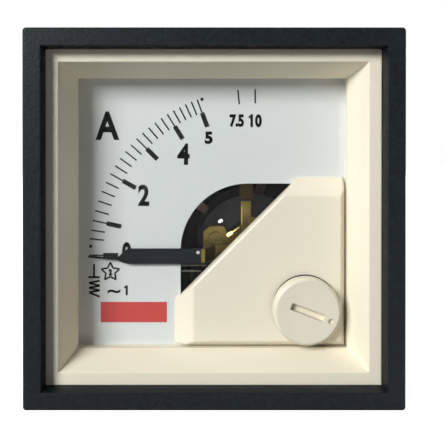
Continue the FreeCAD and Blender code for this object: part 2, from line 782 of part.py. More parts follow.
def make_zero_lever():
    """The flat lever on the bridge's boss: a fork for the knob's pin and a post for the hairspring."""
    body = pivot_body("zero_lever", KNOB_TURN)
    back = f"({DIAL} + lever_gap)"
    front = f"({back} + lever_thickness)"
    add_cylinder(body, "lever_ring_radius", back, front)
    slot_half = "(pin_radius + fork_gap)"
    fork_half = f"({slot_half} + fork_prong)"
    fork_start = f"({FORK_REACH} - fork_length / 2)"
    fork_end = f"({FORK_REACH} + fork_length / 2)"
    arm = new_sketch(body, offset=back)
    root = "(boss_radius + lever_ring_radius) / 2"
    flare = f"{fork_start} - fork_flare"
    draw_outline(arm, [(root, "-lever_arm_width / 2"), (flare, "-lever_arm_width / 2"),
                       (fork_start, f"-{fork_half}"), (fork_end, f"-{fork_half}"), (fork_end, fork_half),
                       (fork_start, fork_half), (flare, "lever_arm_width / 2"), (root, "lever_arm_width / 2")])
    add_pad(body, arm, "lever_thickness")
    slot = new_sketch(body)
    draw_rectangle(slot, fork_start, f"{fork_end} + fork_length", f"-{slot_half}", slot_half)
    add_pocket(body, slot)
    drill(body, "boss_radius + running_gap", [("0", "0")])
    spring_back = f"({BRIDGE_BACK} - spring_gap - spring_height)"
    add_cylinder(body, "spring_post_radius", spring_back, front, "spring_post_reach")
    return body


def make_hairspring():
    """The flat spiral spring, from just outside its collet to the lever's post."""
    inner = size_of("spring_inner_radius")
    outer = size_of("spring_post_reach") - size_of("spring_post_radius") - size_of("spring_thickness") / 2
    turns = size_of("spring_turns")
    thickness = size_of("spring_thickness")
    steps = int(SPRING_STEPS * turns)

    def side(offset):
        points = []
        for step in range(steps + 1):
            angle = 2 * math.pi * turns * step / steps
            radius = inner + (outer - inner) * step / steps + offset
            points.append(Vector(radius * math.cos(angle), 0, radius * math.sin(angle)))
        return points
    near_side = side(-thickness / 2)
    far_side = side(thickness / 2)
    strip = Part.Face(Part.makePolygon(near_side + far_side[::-1] + near_side[:1]))
    spring = doc.addObject("Part::Feature", "hairspring")
    spring.Label = "hairspring"
    spring.Shape = strip.extrude(Vector(0, size_of("spring_height"), 0))
    spring.Placement = Placement(Vector(), Rotation(Vector(0, 1, 0), 10.0))
    bind(spring, {"Placement.Rotation.Angle": KNOB_TURN, "Placement.Base.x": "pivot_x",
                  "Placement.Base.z": "pivot_z", "Placement.Base.y": f"-({BRIDGE_BACK} - spring_gap)"})
    return spring


def make_pointer():
    """The black blade with its tapered neck and needle tip, at the zero mark."""
    body = pivot_body("pointer")
    blade = new_sketch(body, offset=BLADE_BACK)
    half = "blade_width / 2"
    needle = "needle_width / 2"
    draw_outline(blade, [("-blade_start", f"-{half}"), ("-blade_start", half), ("-blade_end", half),
                         ("-needle_start", f"{needle} - needle_drop"), ("-scale_radius", "0"),
                         ("-scale_radius", f"-{needle}"), ("-needle_start", f"-{needle} - needle_drop"),
                         ("-blade_end - nose_length", f"-{half} + nose_rise"), ("-blade_end", f"-{half}")])
    add_pad(body, blade, "blade_thickness")
    return body


def make_pointer_arm():
    """The brass cross: hub, stepped arm under the blade, tail and two side arms."""
    body = pivot_body("pointer_arm")
    add_cylinder(body, "hub_radius", ARM_BACK, ARM_FRONT)
    side = new_sketch(body, "XY_Plane")
    low_front = f"-{ARM_FRONT}"
    low_back = f"-{ARM_BACK}"
    top_front = f"-{BLADE_BACK}"
    top_back = f"(-{BLADE_BACK} + arm_thickness)"
    draw_outline(side, [("0", low_front), ("-ramp_inner", low_front), ("-ramp_outer", top_front),
                        ("-arm_lap_end", top_front), ("-arm_lap_end", top_back),
                        ("-ramp_outer - ramp_shift", top_back), ("-ramp_inner - ramp_shift", low_back),
                        ("0", low_back)])
    add_pad(body, side, "arm_width", midplane=True)
    add_block(body, "0", "tail_length", "-tail_width / 2", "tail_width / 2", ARM_BACK, ARM_FRONT)
    add_block(body, "-side_arm_width / 2", "side_arm_width / 2", "-side_arm_length", "side_arm_length",
              ARM_BACK, ARM_FRONT)
    drill(body, "spindle_radius + push_gap", [("0", "0")])
    return body


def make_spindle():
    """The steel axle with its two pointed ends."""
    body = pivot_body("spindle")
    add_turning(body, [("0", SPINDLE_REAR), ("spindle_radius", f"{SPINDLE_REAR} + spindle_tip"),
                       ("spindle_radius", f"{SPINDLE_FRONT} - spindle_tip"), ("0", SPINDLE_FRONT)])
    return body


def make_balance_weights():
    """A flat weight on the tail and a small square collar on each side arm."""
    tail = pivot_body("tail_weight")
    hole = "(arm_thickness / 2 + push_gap)"
    middle = f"({ARM_FRONT} - arm_thickness / 2)"
    outer = f"({hole} + weight_wall)"
    end = "(tail_length - tail_end_gap)"
    add_block(tail, f"{end} - tail_weight_length", end, "-tail_weight_width / 2", "tail_weight_width / 2",
              f"{middle} - {outer}", f"{middle} + {outer}")
    channel = new_sketch(tail, "YZ_Plane")
    draw_rectangle(channel, f"-{middle} - {hole}", f"-{middle} + {hole}",
                   "-tail_width / 2 - push_gap", "tail_width / 2 + push_gap")
    add_pocket(tail, channel)
    collars = []
    for name, way in (("upper", ""), ("lower", "-")):
        collar = pivot_body(f"{name}_collar")
        start = f"{way}(side_arm_length - tail_end_gap) - {'side_weight_length' if way == '' else '0'}"
        sketch = new_sketch(collar, "XY_Plane", start)
        draw_rectangle(sketch, "-side_weight_size / 2", "side_weight_size / 2",
                       f"-{middle} - side_weight_size / 2", f"-{middle} + side_weight_size / 2")
        draw_rectangle(sketch, "-side_arm_width / 2 - push_gap", "side_arm_width / 2 + push_gap",
                       f"-{middle} - {hole}", f"-{middle} + {hole}")
        add_pad(collar, sketch, "side_weight_length")
        collars.append(collar)
    return group("balance_weights", [tail] + collars)


def make_spring_collet():
    """The brass collet that holds the hairspring's inner end on the spindle."""
    body = pivot_body("spring_collet")
    back = f"({BRIDGE_BACK} - spring_gap - spring_height - collet_drop)"
    add_cylinder(body, "collet_radius", back, f"{back} + collet_length")
    drill(body, "spindle_radius + push_gap", [("0", "0")])
    return body


def make_front_bridge():
    """The brass strap across the movement, with the boss that carries the jewel screw and the lever."""
    body = pivot_body("front_bridge", "-45")
    strap = new_sketch(body, offset=BRIDGE_BACK)
    draw_rectangle(strap, "-bridge_reach", "bridge_reach", "-bridge_width / 2", "bridge_width / 2")
    add_pad(body, strap, "bridge_thickness")
    for spot in ("-bridge_reach", "bridge_reach"):
        add_cylinder(body, "bridge_end_radius", BRIDGE_BACK, DIAL, spot)
    add_cylinder(body, "boss_radius", BRIDGE_BACK, f"({DIAL} + boss_height)")
    drill(body, "jewel_screw_radius + screw_gap", [("0", "0")])
    drill(body, SCREW_HOLE, [("-bridge_reach", "0"), ("bridge_reach", "0")])
    return body


def make_jewel_screws():
    """The two slotted bearing screws, each with a cup for the spindle's point."""
    front_face = f"({DIAL} + boss_height + jewel_screw_front)"
    cup_face = f"({front_face} - jewel_screw_length)"
    front = pivot_body("front_jewel_screw", "30")
    add_turning(front, [("0", f"{cup_face} + jewel_cup_depth"), ("jewel_cup_radius", cup_face),
                        ("jewel_screw_radius", cup_face), ("jewel_screw_radius", front_face), ("0", front_face)])
    slot = new_sketch(front, offset=front_face)
    draw_rectangle(slot, "-jewel_screw_radius * 2", "jewel_screw_radius * 2",
                   "-screw_slot_width / 2", "screw_slot_width / 2")
    add_pocket(front, slot, "jewel_slot_depth")
    rear_cup = f"({SPINDLE_REAR} - end_play + jewel_cup_depth)"
    rear_face = f"({rear_cup} - rear_jewel_screw_length)"
    rear = pivot_body("rear_jewel_screw")
    add_turning(rear, [("0", f"{rear_cup} - jewel_cup_depth"), ("jewel_cup_radius", rear_cup),
                       ("jewel_screw_radius", rear_cup), ("jewel_screw_radius", rear_face), ("0", rear_face)])
    slot = new_sketch(rear, offset=rear_face)
    draw_rectangle(slot, "-jewel_screw_radius * 2", "jewel_screw_radius * 2",
                   "-screw_slot_width / 2", "screw_slot_width / 2")
    add_pocket(rear, slot, "jewel_slot_depth", forwards=True)
    return front, rear


def make_coil():
    """The black bobbin and its winding, round the pivot axis."""
    bobbin = pivot_body("coil_bobbin")
    tube = "(bobbin_bore + bobbin_wall)"
    add_turning(bobbin, [("bobbin_bore", BOBBIN_REAR), ("bobbin_flange_radius", BOBBIN_REAR),
                         ("bobbin_flange_radius", f"{BOBBIN_REAR} + bobbin_flange"),
                         (tube, f"{BOBBIN_REAR} + bobbin_flange"), (tube, f"{BOBBIN_FRONT} - bobbin_flange"),
                         ("bobbin_flange_radius", f"{BOBBIN_FRONT} - bobbin_flange"),
                         ("bobbin_flange_radius", BOBBIN_FRONT), ("bobbin_bore", BOBBIN_FRONT)])
    holes = new_sketch(bobbin, offset=BOBBIN_FRONT)
    for across, up in PLATE_SCREW_LOCAL:
        draw_circle(holes, SCREW_HOLE, across, up)
    add_pocket(bobbin, holes, "bobbin_flange")
    winding = pivot_body("coil_winding")
    inner = f"({tube} + winding_gap)"
    low = f"({BOBBIN_REAR} + bobbin_flange + winding_gap)"
    high = f"({BOBBIN_FRONT} - bobbin_flange - winding_gap)"
    add_turning(winding, [(inner, low), ("winding_radius", low), ("winding_radius", high), (inner, high)])
    return bobbin, winding


def make_irons():
    """The fixed iron in the bobbin's bore and the moving iron on the spindle."""
    low = f"({BOBBIN_REAR} + iron_margin)"
    high = f"({BOBBIN_FRONT} - iron_margin)"
    fixed = pivot_body("fixed_iron", "150")
    outer = "(bobbin_bore - winding_gap)"
    add_turning(fixed, [(f"{outer} - iron_thickness", low), (outer, low), (outer, high),
                        (f"{outer} - iron_thickness", high)], "fixed_iron_angle")
    moving = pivot_body("moving_iron")
    reach = f"({outer} - iron_thickness - iron_gap)"
    add_turning(moving, [(f"{reach} - iron_thickness", low), (reach, low), (reach, high),
                         (f"{reach} - iron_thickness", high)], "moving_iron_angle")
    arm_back = f"({high} - iron_arm_height)"
    add_block(moving, "0", f"{reach} - iron_thickness / 2", "-iron_arm_width / 2", "iron_arm_width / 2",
              arm_back, high)
    add_cylinder(moving, "iron_hub_radius", arm_back, high)
    drill(moving, "spindle_radius + push_gap", [("0", "0")])
    return fixed, moving


def make_damper():
    """The air damper: a paddle on the spindle inside a sector-shaped chamber."""
    vane = pivot_body("damping_vane", "180")
    vane_back = f"({VANE_FRONT} - vane_height)"
    add_cylinder(vane, "iron_hub_radius", vane_back, VANE_FRONT)
    add_block(vane, "iron_hub_radius / 2", "vane_reach", "-vane_thickness / 2", "vane_thickness / 2",
              vane_back, VANE_FRONT)
    drill(vane, "spindle_radius + push_gap", [("0", "0")])
    chamber = pivot_body("damping_chamber", "-135")
    inner = "(iron_hub_radius + vane_gap)"
    outer = "(vane_reach + vane_gap)"
    full = f"({outer} + chamber_wall)"
    add_turning(chamber, [(inner, FRAME_FRONT), (full, FRAME_FRONT), (full, CHAMBER_FRONT), (inner, CHAMBER_FRONT)],
                "chamber_angle")
    floor, roof = f"{FRAME_FRONT} + chamber_wall", f"{CHAMBER_FRONT} - chamber_wall"
    add_turning(chamber, [("iron_hub_radius", floor), (outer, floor), (outer, roof), ("iron_hub_radius", roof)],
                "chamber_angle - 2 * chamber_end_angle", "Groove")
    return vane, chamber


def make_coil_front_plate():
    """The brass plate on the coil: a lobe towards the pointer and a finger beside the pivot."""
    plate = pivot_body("coil_front_plate")
    outline = new_sketch(plate, offset=BOBBIN_FRONT)
    finger_right = "(finger_width - finger_left)"
    rim = [(f"front_plate_radius * cos({angle}deg)", f"front_plate_radius * sin({angle}deg)")
           for angle in PLATE_RIM_ANGLES]
    draw_outline(outline, [("-lobe_reach", "0"), ("-lobe_reach", "lobe_top - lobe_bevel"),
                           ("-lobe_reach + lobe_bevel", "lobe_top"), ("-notch_reach - lobe_bevel", "lobe_top"),
                           ("-notch_reach", "notch_height"), ("-finger_left", "notch_height + lobe_bevel"),
                           ("-finger_left", "finger_reach"), (finger_right, "finger_reach"),
                           (finger_right, rim[0][1])] + rim)
    add_pad(plate, outline, "front_plate_thickness")
    drill(plate, "spindle_radius + front_plate_hole_gap", [("0", "0")])
    drill(plate, SCREW_HOLE, PLATE_SCREW_LOCAL)
    return plate


def make_movement_frame():
    """The black moulded frame: a round plate and two bored pillars, from the rear wall to the bridge."""
    body = new_body("movement_frame")
    add_cylinder(body, "bridge_reach + frame_plate_margin", FRAME_REAR, FRAME_FRONT, "pivot_x", "pivot_z")
    pillars = new_sketch(body, offset=REAR_INSIDE)
    for across, up in PILLAR_SPOTS:
        draw_circle(pillars, "pillar_radius", across, up)
    add_pad(body, pillars, f"{BRIDGE_BACK} - {REAR_INSIDE}")
    drill(body, SCREW_HOLE, PILLAR_SPOTS)
    drill(body, "jewel_screw_radius + screw_gap", [("pivot_x", "pivot_z")])
    return body


def make_terminals():
    """Studs with square inner heads, and on each stud a nut, a washer and a second nut."""
    made = []
    nuts = []
    washers = []
    for name, side in (("left", "-"), ("right", "")):
        spot = (f"{side}terminal_spacing / 2", "0", "terminal_height")
        stud = new_body(f"terminal_stud_{name}", spot)
        half = "stud_head_size / 2"
        add_block(stud, f"-{half}", half, f"-{half}", half, REAR_INSIDE, f"{REAR_INSIDE} + stud_head_thickness")
        end = f"({TERMINAL_FACE} - stud_length)"
        root = f"{REAR_INSIDE} + stud_head_thickness / 2"
        add_turning(stud, [("0", end), ("stud_radius - stud_bevel", end), ("stud_radius", f"{end} + stud_bevel"),
                           ("stud_radius", root), ("0", root)])
        made.append(stud)
        first = f"({TERMINAL_FACE} - nut_thickness)"
        second = f"({first} - washer_thickness)"
        levels = (("inner", first), ("outer", f"({second} - nut_thickness)"))
        for place, level in levels:
            nut = new_body(f"nut_{name}_{place}", spot)
            outline = new_sketch(nut, offset=level)
            corner = "(nut_across_flats / sqrt(3))"
            draw_outline(outline, [(f"{corner} * cos({60 * step}deg)", f"{corner} * sin({60 * step}deg)")
                                   for step in range(6)])
            draw_circle(outline, "stud_radius + screw_gap")
            add_pad(nut, outline, "nut_thickness")
            nuts.append(nut)
        washer = new_body(f"washer_{name}", spot)
        ring = new_sketch(washer, offset=second)
        draw_circle(ring, "washer_radius")
        draw_circle(ring, "stud_radius + screw_gap")
        add_pad(washer, ring, "washer_thickness")
        washers.append(washer)
    return made + [group("terminal_nuts", nuts), group("terminal_washers", washers)]


def make_lead(label, side):
    """A flat copper strip from the winding, out along a radius and back to the head of a stud."""
    across = f"({side}(terminal_spacing / 2 - stud_head_size / 4) - pivot_x)"
    up = "(terminal_height - stud_head_size / 4 - pivot_z)"
    body = pivot_body(label, f"atan2(-{up}; {across})")
    reach = f"sqrt({across} ^ 2 + {up} ^ 2)"
    half = "lead_thickness / 2"
    start = "winding_radius + winding_gap"
    end = f"-({REAR_INSIDE} + stud_head_thickness)"
    strip = new_sketch(body, "XY_Plane")
    draw_outline(strip, [(start, f"-{LEAD_LEVEL} - {half}"), (f"{reach} + {half}", f"-{LEAD_LEVEL} - {half}"),
                         (f"{reach} + {half}", end), (f"{reach} - {half}", end),
                         (f"{reach} - {half}", f"-{LEAD_LEVEL} + {half}"), (start, f"-{LEAD_LEVEL} + {half}")])
    flat = add_pad(body, strip, "lead_width", midplane=True)
    doc.recompute()
    far = flat.Shape.BoundBox.XMax
    front = flat.Shape.BoundBox.YMin
    thickness = size_of("lead_thickness")

    def bend_edge(inset):
        return lambda middle, way: (abs(way.z) > 0.99 and near(middle.x, far - inset)
                                    and near(middle.y, front + inset))
    bent = add_fillet(body, flat, "lead_bend + lead_thickness", bend_edge(0))
    add_fillet(body, bent, "lead_bend", bend_edge(thickness))
    return body


PILLAR_SPOTS = [(f"pivot_x + {BRIDGE_OFFSET}", f"pivot_z + {BRIDGE_OFFSET}"),
                (f"pivot_x - {BRIDGE_OFFSET}", f"pivot_z - {BRIDGE_OFFSET}")]
PEG_SPOTS = [(f"{MASK_RIGHT} - peg_inset", "pivot_z + peg_reach_z"),
             ("pivot_x - peg_reach_x", f"-({MASK_RIGHT} - peg_inset)"),
             (f"{MASK_RIGHT} - peg_inset", f"-({MASK_RIGHT} - peg_inset)")]
PLATE_SCREW_LOCAL = [("-lobe_screw_reach", "lobe_screw_height"),
                     ("plate_screw_reach * cos(plate_screw_angle * 1deg)",
                      "-plate_screw_reach * sin(plate_screw_angle * 1deg)")]
PLATE_RIM_ANGLES = (40, -5, -50, -100, -150)

pieces = [make_front_bezel(), make_inner_surround(), make_front_window(), make_rear_case(), make_dial_plate(),
          make_movement_mask(), make_zero_adjuster_knob(), make_zero_lever(), make_hairspring(), make_pointer(),
          make_pointer_arm(), make_spindle(), make_balance_weights(), make_spring_collet(), make_front_bridge(),
          *make_jewel_screws(), *make_coil(), *make_irons(), *make_damper(), make_coil_front_plate(),
          make_movement_frame(), *make_terminals(), make_lead("coil_lead_left", "-"),
          make_lead("coil_lead_right", "")]
pieces.append(group("bridge_screws", [screw(f"bridge_screw_{index}", across, up, DIAL, str(20 + 50 * index))
                                      for index, (across, up) in enumerate(PILLAR_SPOTS)]))
pieces.append(group("frame_screws", [screw(f"frame_screw_{index}", across, up, REAR_FACE, str(15 + 35 * index),
                                           "rear_wall + screw_grip", backwards=True)
                                     for index, (across, up) in enumerate(PILLAR_SPOTS)]))
pieces.append(group("plate_screws", [screw(f"plate_screw_{index}", f"pivot_x + ({across})", f"pivot_z + ({up})",
                                           PLATE_FRONT, str(30 * index), "front_plate_thickness + bobbin_flange")
                                     for index, (across, up) in enumerate(PLATE_SCREW_LOCAL)]))

doc.recompute()
for item in doc.Objects:
    if "Invalid" in item.State or "Error" in item.State:
        raise RuntimeError(f"{item.Label} did not rebuild: {item.State}")

os.makedirs("parts", exist_ok=True)
for piece in pieces:
    if piece.Shape.isNull() or not piece.Shape.isValid() or not piece.Shape.Solids:
        raise RuntimeError(f"{piece.Label} is not a sound solid")
    piece.Shape.exportStep(f"parts/{piece.Label}.step")
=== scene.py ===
import json
import math

import bpy
from mathutils import Euler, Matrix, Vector


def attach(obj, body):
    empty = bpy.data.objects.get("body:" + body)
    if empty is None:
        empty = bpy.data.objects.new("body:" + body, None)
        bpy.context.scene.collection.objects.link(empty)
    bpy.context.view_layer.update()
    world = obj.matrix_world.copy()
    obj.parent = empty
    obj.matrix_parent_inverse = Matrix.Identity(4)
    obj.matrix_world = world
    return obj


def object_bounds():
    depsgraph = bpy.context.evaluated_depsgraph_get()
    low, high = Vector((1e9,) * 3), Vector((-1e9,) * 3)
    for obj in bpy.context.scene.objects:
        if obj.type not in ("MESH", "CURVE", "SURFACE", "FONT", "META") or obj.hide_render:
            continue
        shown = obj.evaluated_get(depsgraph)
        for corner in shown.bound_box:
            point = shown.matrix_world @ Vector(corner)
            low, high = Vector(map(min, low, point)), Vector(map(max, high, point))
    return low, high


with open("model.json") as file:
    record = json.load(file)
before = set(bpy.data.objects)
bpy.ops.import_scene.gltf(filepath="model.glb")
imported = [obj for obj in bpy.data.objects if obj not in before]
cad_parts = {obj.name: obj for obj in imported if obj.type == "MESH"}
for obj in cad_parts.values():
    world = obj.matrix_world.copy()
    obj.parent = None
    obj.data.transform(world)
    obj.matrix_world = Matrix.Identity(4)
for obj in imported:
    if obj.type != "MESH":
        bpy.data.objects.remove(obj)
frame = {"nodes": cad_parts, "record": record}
cad_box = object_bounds()

# A square panel ammeter. Lengths are millimetres and turns are degrees, as on a drawing, where nothing else is said.
# X is right, Z is up, and Y runs back from the panel's front face.
MM = 0.001
PHOTO_WIDTH = 444
PHOTO_HEIGHT = 439

# Where the lens stood, and where the middle of the bezel lies in the picture
BEZEL_FRONT = -7.0
BEZEL_SIZE = 48.0
BEZEL_PIXELS = 385.0
BEZEL_CENTRE_PIXEL = (214.3, 219.4)
LENS_DISTANCE = 60.0
LENS_SIDE = -2.7
LENS_HEIGHT = 8.5
LENS_DIP = 0.2
SENSOR_WIDTH = 36.0

# Levels, along Y, of the faces that the print and the small parts lie on
DIAL_FACE = 0.8
DIAL_BACK = 1.4
INK_FACE = 0.76
BLADE_FACE = 0.05
FLANGE_FACE = 5.4
PLATE_FACE = 4.6

# Print: the thickness of its pieces, a letter's depth before it is fitted, and the ink's screen colour
PRINT_THICKNESS = 0.05
LETTER_DEPTH = 0.1
INK_COLOUR = (12, 14, 15)

# The test star on the dial
STAR_CENTRE = (-14.3, -8.5)
STAR_POINTS = 5
STAR_TIP = 1.35
STAR_NOTCH = 0.66

# The ways that small strips face: straight out, and two that throw the key lamp's light to the lens, the last for the
# strip of painted highlight along the brass bar's edge
TO_FRONT = (0.0, -1.0, 0.0)
TO_KEY = (-0.3, -0.92, 0.25)
EDGE_HIGHLIGHT_FACING = (-0.12, -0.98, 0.1)

# Edges of the small parts: the steps of a bevel, the turn below which shading is smooth, and a pin's sides
BEVEL_STEPS = 3
SMOOTH_BELOW = 50
PIN_SIDES = 40

# Threads, wire and the wire's enamel
THREAD_PITCH = 0.7
THREAD_DEPTH = 0.12
WIRE_PITCH = 0.45
WIRE_DEPTH = 0.08
ENAMEL_COLOUR = (126, 58, 34)

# The knob's axis, the hole that the pane has round it, and how far past the hole's wall the pane shows nothing
KNOB = (12.5, -12.8)
PANE_HOLE_RADIUS = 4.8
PANE_HOLE_MARGIN = 0.05

# A dark ring of painted shade, standing for the shadow in the gap between the knob's head and the cover
SHADE_RING_RADIUS = 4.12
SHADE_RING_THICKNESS = 0.72
SHADE_RING_FLATTENING = 0.85
SHADE_RING_LEVEL = -1.42
SHADE_RING_SHIFT = 0.15
SHADE_RING_SIDES = (96, 20)

# Light on the meter from all round, and the lamps: places and sizes in metres
AIR_LIGHT = 0.05
KEY_PLACE = (-0.37, -0.43, 0.27)
KEY_SIZE = (0.24, 0.2)
KEY_WATTS = 4.8
FILL_PLACE = (0.4, -0.45, 0.05)
FILL_SIZE = (0.3, 0.5)
FILL_WATTS = 0.1
BACK_PLACE = (0.3, 0.5, 0.3)
BACK_SIZE = (0.4, 0.4)
BACK_WATTS = 3.0

# The floor: its side in metres, its colour and glow for the lens, and its colour for the light it throws back
FLOOR_SIDE = 4.0
FLOOR_WHITE = 0.9
FLOOR_GLOW = 0.95
FLOOR_BOUNCE = 0.25


def linear(red, green, blue):
    """A screen colour as the linear values that a shader takes."""
    def channel(value):
        value = value / 255
        return value / 12.92 if value <= 0.04045 else ((value + 0.055) / 1.055) ** 2.4
    return channel(red), channel(green), channel(blue), 1.0


def add_maths(tree, operation, *values, kind="ShaderNodeMath"):
    """A maths node, whose inputs in turn are linked to a socket or set to a plain value."""
    maths = tree.nodes.new(kind)
    maths.operation = operation
    for socket, value in zip(maths.inputs, values):
        if isinstance(value, bpy.types.NodeSocket):
            tree.links.new(value, socket)
        else:
            socket.default_value = value
    return maths.outputs


# Stage and light

def white_for_lens(tree, plain, level):
    """Plain white for the lens and for what it sees in metal and glass, and a softer light on everything else."""
    path = tree.nodes.new("ShaderNodeLightPath").outputs
    mirrored = add_maths(tree, "MAXIMUM", path["Is Glossy Ray"], path["Is Transmission Ray"])
    sight = add_maths(tree, "MAXIMUM", path["Is Camera Ray"], mirrored[0])
    strength = tree.nodes.new("ShaderNodeMapRange")
    strength.inputs["To Min"].default_value = level
    strength.inputs["To Max"].default_value = plain
    tree.links.new(sight[0], strength.inputs["Value"])
    return strength.outputs["Result"]


def make_world():
    """Even air all round, white for the lens and faint on the meter."""
    world = bpy.data.worlds.new("studio_air")
    bpy.context.scene.world = world
    world.use_nodes = True
    tree = world.node_tree
    air = tree.nodes["Background"]
    air.inputs["Color"].default_value = (1.0, 1.0, 1.0, 1.0)
    tree.links.new(white_for_lens(tree, 1.0, AIR_LIGHT), air.inputs["Strength"])


def make_floor():
    """A pale floor under the bezel's lower edge."""
    bpy.ops.object.select_all(action="DESELECT")
    bpy.ops.mesh.primitive_plane_add(size=FLOOR_SIDE, location=(0, 0, cad_box[0].z))
    floor = bpy.context.object
    floor.name = "floor"
    paint = bpy.data.materials.new("floor_paint")
    paint.use_nodes = True
    skin = paint.node_tree.nodes["Principled BSDF"]
    skin.inputs["Roughness"].default_value = 0.9
    skin.inputs["Specular IOR Level"].default_value = 0.0
    skin.inputs["Emission Color"].default_value = (1.0, 1.0, 1.0, 1.0)
    links = paint.node_tree.links
    links.new(white_for_lens(paint.node_tree, FLOOR_WHITE, FLOOR_BOUNCE), skin.inputs["Base Color"])
    links.new(white_for_lens(paint.node_tree, FLOOR_GLOW, 0.0), skin.inputs["Emission Strength"])
    floor.data.materials.append(paint)


def add_softbox(name, place, size, watts):
    """A soft rectangular lamp that faces the dial."""
    lamp = bpy.data.lights.new(name, "AREA")
    lamp.shape = "RECTANGLE"
    lamp.size, lamp.size_y = size
    lamp.energy = watts
    holder = bpy.data.objects.new(name, lamp)
    bpy.context.scene.collection.objects.link(holder)
    holder.location = place
    holder.rotation_euler = (-Vector(place)).to_track_quat("-Z", "Y").to_euler()


def make_camera():
    """The photo's view: the lens is above the dial's middle, and the picture is shifted to bring the front in."""
    lens = bpy.data.cameras.new("lens")
    focal_pixels = BEZEL_PIXELS / BEZEL_SIZE * LENS_DISTANCE
    lens.sensor_width = SENSOR_WIDTH
    lens.lens = focal_pixels / PHOTO_WIDTH * SENSOR_WIDTH
    dip = math.radians(LENS_DIP)
    centre_right = -LENS_SIDE / LENS_DISTANCE * focal_pixels
    centre_down = focal_pixels * math.tan(math.atan(LENS_HEIGHT / LENS_DISTANCE) - dip)
    lens.shift_x = (centre_right - (BEZEL_CENTRE_PIXEL[0] - PHOTO_WIDTH / 2)) / PHOTO_WIDTH
    lens.shift_y = -(centre_down - (BEZEL_CENTRE_PIXEL[1] - PHOTO_HEIGHT / 2)) / PHOTO_WIDTH
    lens.clip_start = MM
    holder = bpy.data.objects.new("lens", lens)
    bpy.context.scene.collection.objects.link(holder)
    holder.location = (LENS_SIDE * MM, (BEZEL_FRONT - LENS_DISTANCE) * MM, LENS_HEIGHT * MM)
    holder.rotation_euler = (math.radians(90) - dip, 0, 0)
    bpy.context.scene.camera = holder


# Finishes

def new_group(name, wants, gives):
    """An empty node group with named sockets."""
    group = bpy.data.node_groups.new(name, "ShaderNodeTree")
    for socket, kind, value in wants:
        made = group.interface.new_socket(name=socket, in_out="INPUT", socket_type=kind)
        made.default_value = value
    for socket, kind in gives:
        group.interface.new_socket(name=socket, in_out="OUTPUT", socket_type=kind)
    return group, group.nodes.new("NodeGroupInput"), group.nodes.new("NodeGroupOutput")


def make_surface_group():
    """Colour that drifts a little, gloss that varies with handling, and a fine skin of bumps over softened edges."""
    number = "NodeSocketFloat"
    group, wants, gives = new_group(
        "worked_surface",
        [("Color", "NodeSocketColor", (0.8, 0.8, 0.8, 1.0)), ("Drift", number, 0.05), ("Drift Scale", number, 120.0),
         ("Roughness", number, 0.4), ("Handling", number, 0.08), ("Grain Scale", number, 4000.0),
         ("Grain", number, 0.1), ("Grain Depth", number, 0.00002), ("Edge Radius", number, 0.0001)],
        [("Color", "NodeSocketColor"), ("Roughness", number), ("Normal", "NodeSocketVector")])
    nodes, links = group.nodes, group.links
    place = nodes.new("ShaderNodeTexCoord")
    broad = nodes.new("ShaderNodeTexNoise")
    broad.inputs["Detail"].default_value = 4.0
    links.new(place.outputs["Object"], broad.inputs["Vector"])
    links.new(wants.outputs["Drift Scale"], broad.inputs["Scale"])
    centred = add_maths(group, "SUBTRACT", broad.outputs["Fac"], 0.5)
    drift = add_maths(group, "MULTIPLY_ADD", centred[0], wants.outputs["Drift"], 1.0)
    tinted = nodes.new("ShaderNodeVectorMath")
    tinted.operation = "SCALE"
    links.new(wants.outputs["Color"], tinted.inputs[0])
    links.new(drift[0], tinted.inputs["Scale"])
    links.new(tinted.outputs[0], gives.inputs["Color"])
    gloss = add_maths(group, "MULTIPLY_ADD", centred[0], wants.outputs["Handling"], wants.outputs["Roughness"])
    links.new(gloss[0], gives.inputs["Roughness"])
    fine = nodes.new("ShaderNodeTexNoise")
    fine.inputs["Detail"].default_value = 2.0
    links.new(place.outputs["Object"], fine.inputs["Vector"])
    links.new(wants.outputs["Grain Scale"], fine.inputs["Scale"])
    bump = nodes.new("ShaderNodeBump")
    links.new(fine.outputs["Fac"], bump.inputs["Height"])
    links.new(wants.outputs["Grain"], bump.inputs["Strength"])
    links.new(wants.outputs["Grain Depth"], bump.inputs["Distance"])
    soft_edge = nodes.new("ShaderNodeBevel")
    links.new(wants.outputs["Edge Radius"], soft_edge.inputs["Radius"])
    links.new(soft_edge.outputs["Normal"], bump.inputs["Normal"])
    links.new(bump.outputs["Normal"], gives.inputs["Normal"])
    return group


def new_finish(name, color, roughness, metallic=0.0, specular=0.5, drift=0.05, drift_scale=120.0, handling=0.08,
               grain=0.1, grain_scale=4000.0, grain_depth=0.00002, edge=0.08):
    """A material whose colour, gloss and bumps come from the shared surface group. The grain's depth is in metres."""
    material = bpy.data.materials.new(name)
    material.use_nodes = True
    nodes, links = material.node_tree.nodes, material.node_tree.links
    skin = nodes["Principled BSDF"]
    skin.inputs["Metallic"].default_value = metallic
    skin.inputs["Specular IOR Level"].default_value = specular
    surface = nodes.new("ShaderNodeGroup")
    surface.node_tree = SURFACE
    surface.name = "surface"
    for socket, value in (("Color", color), ("Drift", drift), ("Drift Scale", drift_scale), ("Roughness", roughness),
                          ("Handling", handling), ("Grain Scale", grain_scale), ("Grain", grain),
                          ("Grain Depth", grain_depth), ("Edge Radius", edge * MM)):
        surface.inputs[socket].default_value = value
    links.new(surface.outputs["Color"], skin.inputs["Base Color"])
    links.new(surface.outputs["Roughness"], skin.inputs["Roughness"])
    links.new(surface.outputs["Normal"], skin.inputs["Normal"])
    return material


